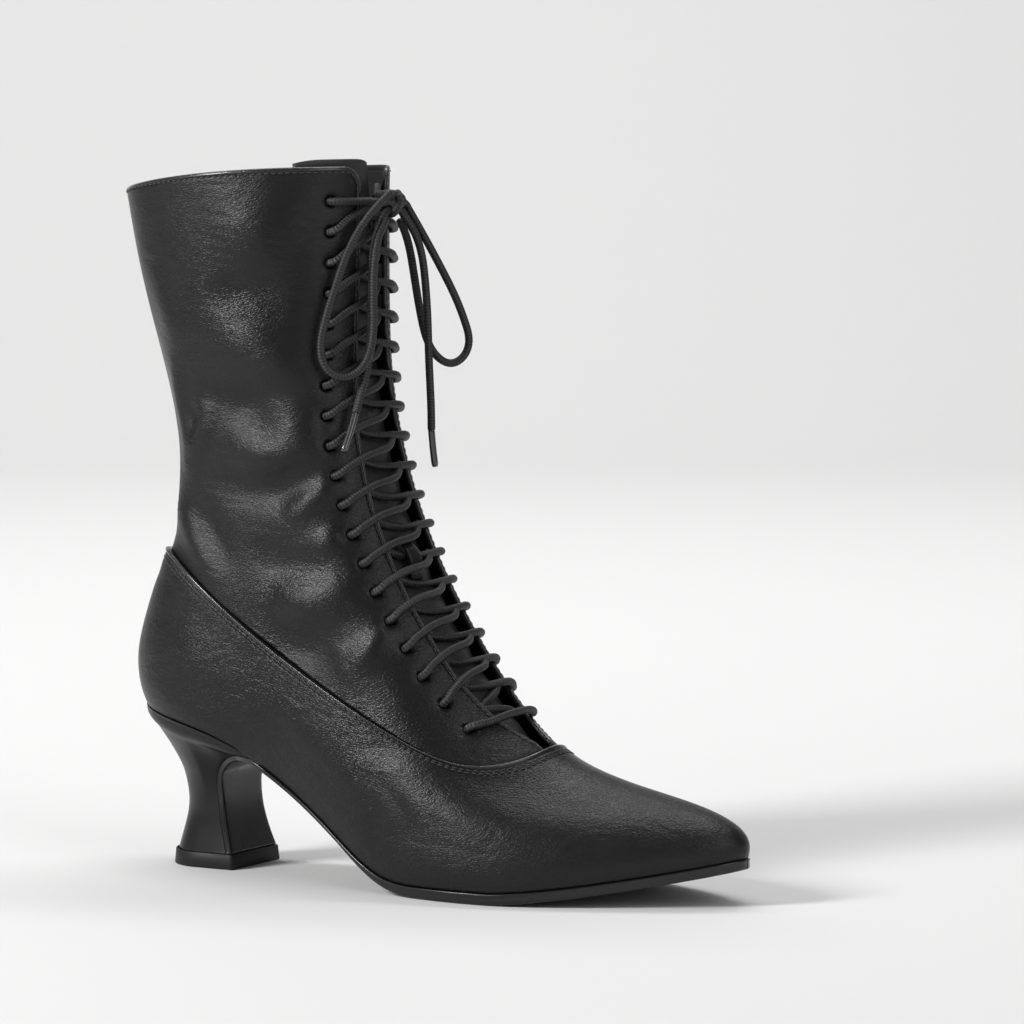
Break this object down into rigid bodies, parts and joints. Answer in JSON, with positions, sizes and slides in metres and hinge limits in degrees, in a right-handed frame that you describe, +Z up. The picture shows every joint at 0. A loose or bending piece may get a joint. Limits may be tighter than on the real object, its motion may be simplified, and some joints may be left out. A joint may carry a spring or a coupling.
{
  "type": "boot",
  "caption": "Lady's victorian lace up boot in black leather, the right one of a pair, with a pointed toe, a curved heel, a punched lacing front and a tied bow",
  "frame": {"origin": "Middle of the boot's box on the floor, the free laces left out of it.", "axes": "+X points to the toe, +Y to the inner side of the foot, +Z up from the floor."},
  "size_m": [0.2572, 0.086, 0.2676],
  "materials": {
    "upper_leather": "satin with a fine creased grain",
    "sole": "black, polished edge",
    "heel_cover": "black, smooth satin",
    "top_piece_rubber": "matt",
    "sock_leather": "matt",
    "lace": "round braid",
    "lace_tip": "glossy"
  },
  "bodies": {
    "root": {"upper": "upper_leather", "outsole": "sole", "heel": "heel_cover", "top_piece": "top_piece_rubber", "insole": "sock_leather", "tongue": "upper_leather", "lace_keeper": "upper_leather", "lace_cross_01": "lace", "lace_cross_02": "lace", "lace_cross_03": "lace", "lace_cross_04": "lace", "lace_cross_05": "lace", "lace_cross_06": "lace", "lace_cross_07": "lace", "lace_cross_08": "lace", "lace_cross_09": "lace", "lace_cross_10": "lace", "lace_cross_11": "lace", "lace_cross_12": "lace", "lace_cross_13": "lace", "lace_cross_14": "lace", "lace_cross_15": "lace", "lace_cross_16": "lace", "lace_cross_17": "lace", "lace_cross_18": "lace", "lace_foot": "lace", "lace_top_outer": "lace", "lace_top_inner": "lace", "lace_knot": "lace", "lace_loop_outer": "lace", "lace_loop_inner": "lace", "lace_end_outer": "lace", "lace_end_inner": "lace", "lace_tip_outer": "lace_tip", "lace_tip_inner": "lace_tip"}
  },
  "joints": []
}
